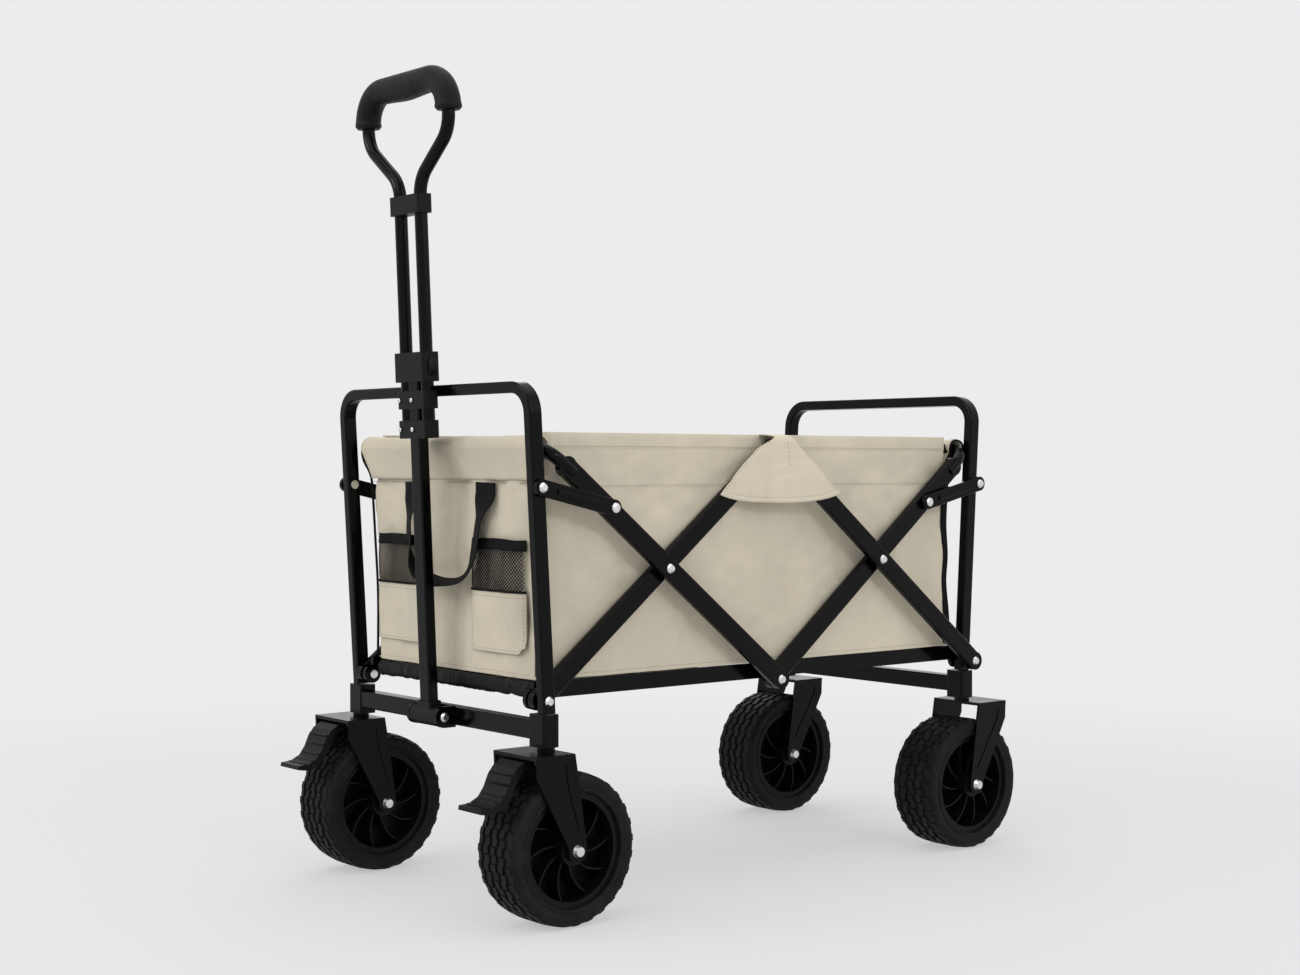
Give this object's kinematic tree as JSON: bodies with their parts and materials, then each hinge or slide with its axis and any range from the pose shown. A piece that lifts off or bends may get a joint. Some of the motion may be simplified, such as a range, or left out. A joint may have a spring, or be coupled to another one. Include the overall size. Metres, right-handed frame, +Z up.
{
  "type": "beach cart",
  "caption": "Folding beach cart: a fabric tub on a steel scissor frame with wide swivel and fixed wheels, brake pedals and a telescoping, tilting pull handle.",
  "frame": {"origin": "on the ground under the middle of the overall box", "axes": "+Z up, the pull handle at -Y, the fixed rear wheels at +Y, the width along X"},
  "size_m": [0.506, 0.926, 1.0123],
  "materials": {
    "frame_black": "gloss black powder coat",
    "zinc": "zinc plated",
    "plastic_black": "satin black",
    "wheel_black": "moulded black",
    "tyre": "matt black rubber",
    "grip": "soft black foam rubber",
    "canvas": "khaki woven polyester",
    "webbing": "black woven tape"
  },
  "bodies": {
    "front_end": {"front_frame": "frame_black", "front_crossbar": "frame_black", "handle_yoke": "frame_black", "handle_pin": "zinc", "front_bolts": "zinc"},
    "front_bars": {"front_bar_left": "frame_black", "front_bar_right": "frame_black"},
    "front_rim": {"front_rim": "frame_black", "front_rim_bolts": "zinc"},
    "rear_rim": {"rear_rim": "frame_black"},
    "rear_bars": {"rear_bar_left": "frame_black", "rear_bar_right": "frame_black", "rear_bar_bolts": "zinc"},
    "rear_end": {"rear_frame": "frame_black", "rear_crossbar": "frame_black", "rear_bolts": "zinc", "rear_fork_left": "frame_black", "rear_fork_right": "frame_black", "rear_axle_left": "zinc", "rear_axle_right": "zinc"},
    "front_stays": {"front_stay_left": "frame_black", "front_stay_right": "frame_black"},
    "rear_stays": {"rear_stay_left": "frame_black", "rear_stay_right": "frame_black"},
    "front_floor": {"front_floor": "frame_black", "front_mat": "canvas"},
    "rear_floor": {"rear_floor": "frame_black", "rear_mat": "canvas"},
    "tub": {"tub_side_left": "canvas", "tub_side_right": "canvas", "tub_front": "canvas", "tub_rear": "canvas", "flap_left": "canvas", "flap_right": "canvas", "pocket_left": "canvas", "pocket_right": "canvas", "carry_loop": "webbing"},
    "caster_left": {"front_fork_left": "frame_black", "front_axle_left": "zinc"},
    "caster_right": {"front_fork_right": "frame_black", "front_axle_right": "zinc"},
    "wheel_front_left": {"front_wheel_left": "wheel_black", "front_tyre_left": "tyre"},
    "wheel_front_right": {"front_wheel_right": "wheel_black", "front_tyre_right": "tyre"},
    "wheel_rear_left": {"rear_wheel_left": "wheel_black", "rear_tyre_left": "tyre"},
    "wheel_rear_right": {"rear_wheel_right": "wheel_black", "rear_tyre_right": "tyre"},
    "pedal_left": {"brake_pedal_left": "plastic_black"},
    "pedal_right": {"brake_pedal_right": "plastic_black"},
    "handle": {"handle_tube": "frame_black", "handle_barrel": "plastic_black", "handle_housing": "plastic_black", "upper_clamp": "plastic_black"},
    "handle_slider": {"handle_loop": "frame_black", "handle_bracket": "plastic_black", "lower_clamp": "plastic_black", "handle_grip": "grip"},
    "lock_button": {"lock_button": "plastic_black"}
  },
  "joints": [
    {"name": "fold", "type": "hinge", "parent": "front_end", "child": "front_bars", "pos_m": [0, -0.356, 0.26], "axis": [1, 0, 0], "range_deg": [0, 36.5], "deforming": ["tub_side_left", "tub_side_right", "tub_front", "tub_rear", "flap_left", "flap_right", "pocket_left", "pocket_right", "carry_loop", "front_mat", "rear_mat"]},
    {"name": "front_rim_turn", "type": "hinge", "parent": "front_bars", "child": "front_rim", "pos_m": [0, -0.17, 0.40795], "axis": [1, 0, 0], "range_deg": [-74, 0]},
    {"name": "rear_rim_turn", "type": "hinge", "parent": "front_rim", "child": "rear_rim", "pos_m": [0, 0.016, 0.26], "axis": [1, 0, 0], "range_deg": [0, 74]},
    {"name": "rear_bars_turn", "type": "hinge", "parent": "rear_rim", "child": "rear_bars", "pos_m": [0, 0.202, 0.40795], "axis": [1, 0, 0], "range_deg": [-74, 0]},
    {"name": "rear_end_turn", "type": "hinge", "parent": "rear_bars", "child": "rear_end", "pos_m": [0, 0.388, 0.26], "axis": [1, 0, 0], "range_deg": [0, 37.5]},
    {"name": "front_stays_turn", "type": "hinge", "parent": "front_end", "child": "front_stays", "pos_m": [0, -0.3703, 0.508], "axis": [1, 0, 0], "range_deg": [0, 79.9]},
    {"name": "rear_stays_turn", "type": "hinge", "parent": "rear_end", "child": "rear_stays", "pos_m": [0, 0.4023, 0.508], "axis": [1, 0, 0], "range_deg": [-79.9, 0]},
    {"name": "front_floor_turn", "type": "hinge", "parent": "front_end", "child": "front_floor", "pos_m": [0, -0.356, 0.26], "axis": [1, 0, 0], "range_deg": [0, 89]},
    {"name": "rear_floor_turn", "type": "hinge", "parent": "rear_end", "child": "rear_floor", "pos_m": [0, 0.388, 0.26], "axis": [1, 0, 0], "range_deg": [-89, 0]},
    {"name": "tub_lift", "type": "slide", "parent": "front_end", "child": "tub", "axis": [0, 0, 1], "range_m": [0, 0.16523]},
    {"name": "caster_left_swivel", "type": "hinge", "parent": "front_end", "child": "caster_left", "pos_m": [-0.206, -0.356, 0.205], "axis": [0, 0, 1], "continuous": true},
    {"name": "caster_right_swivel", "type": "hinge", "parent": "front_end", "child": "caster_right", "pos_m": [0.206, -0.356, 0.205], "axis": [0, 0, 1], "continuous": true},
    {"name": "wheel_front_left_spin", "type": "hinge", "parent": "caster_left", "child": "wheel_front_left", "pos_m": [-0.206, -0.341, 0.09], "axis": [1, 0, 0], "continuous": true},
    {"name": "wheel_front_right_spin", "type": "hinge", "parent": "caster_right", "child": "wheel_front_right", "pos_m": [0.206, -0.341, 0.09], "axis": [1, 0, 0], "continuous": true},
    {"name": "wheel_rear_left_spin", "type": "hinge", "parent": "rear_end", "child": "wheel_rear_left", "pos_m": [-0.184, 0.373, 0.09], "axis": [1, 0, 0], "continuous": true},
    {"name": "wheel_rear_right_spin", "type": "hinge", "parent": "rear_end", "child": "wheel_rear_right", "pos_m": [0.184, 0.373, 0.09], "axis": [1, 0, 0], "continuous": true},
    {"name": "pedal_left_press", "type": "hinge", "parent": "caster_left", "child": "pedal_left", "pos_m": [-0.206, -0.394, 0.192], "axis": [1, 0, 0], "range_deg": [0, 10]},
    {"name": "pedal_right_press", "type": "hinge", "parent": "caster_right", "child": "pedal_right", "pos_m": [0.206, -0.394, 0.192], "axis": [1, 0, 0], "range_deg": [0, 10]},
    {"name": "handle_tilt", "type": "hinge", "parent": "front_end", "child": "handle", "pos_m": [0, -0.382, 0.226], "axis": [1, 0, 0], "range_deg": [0, 95]},
    {"name": "handle_slide", "type": "slide", "parent": "handle", "child": "handle_slider", "axis": [0, 0.0436, -0.999], "range_m": [0, 0.165]},
    {"name": "lock_press", "type": "slide", "parent": "handle", "child": "lock_button", "axis": [-1, 0, 0], "range_m": [0, 0.0018], "stiffness_N_per_m": 300, "springref_m": -0.002}
  ],
  "couplings": [
    {"joint": "front_rim_turn", "follows": "fold", "ratio": -2},
    {"joint": "rear_rim_turn", "follows": "fold", "ratio": 2},
    {"joint": "rear_bars_turn", "follows": "fold", "ratio": -2},
    {"joint": "rear_end_turn", "follows": "fold", "ratio": 1},
    {"joint": "front_stays_turn", "follows": "fold", "ratio": 2.1616},
    {"joint": "rear_stays_turn", "follows": "fold", "ratio": -2.1616},
    {"joint": "front_floor_turn", "follows": "fold", "ratio": 2.411},
    {"joint": "rear_floor_turn", "follows": "fold", "ratio": -2.411},
    {"joint": "tub_lift", "follows": "fold", "m_per_rad": 0.25624}
  ]
}
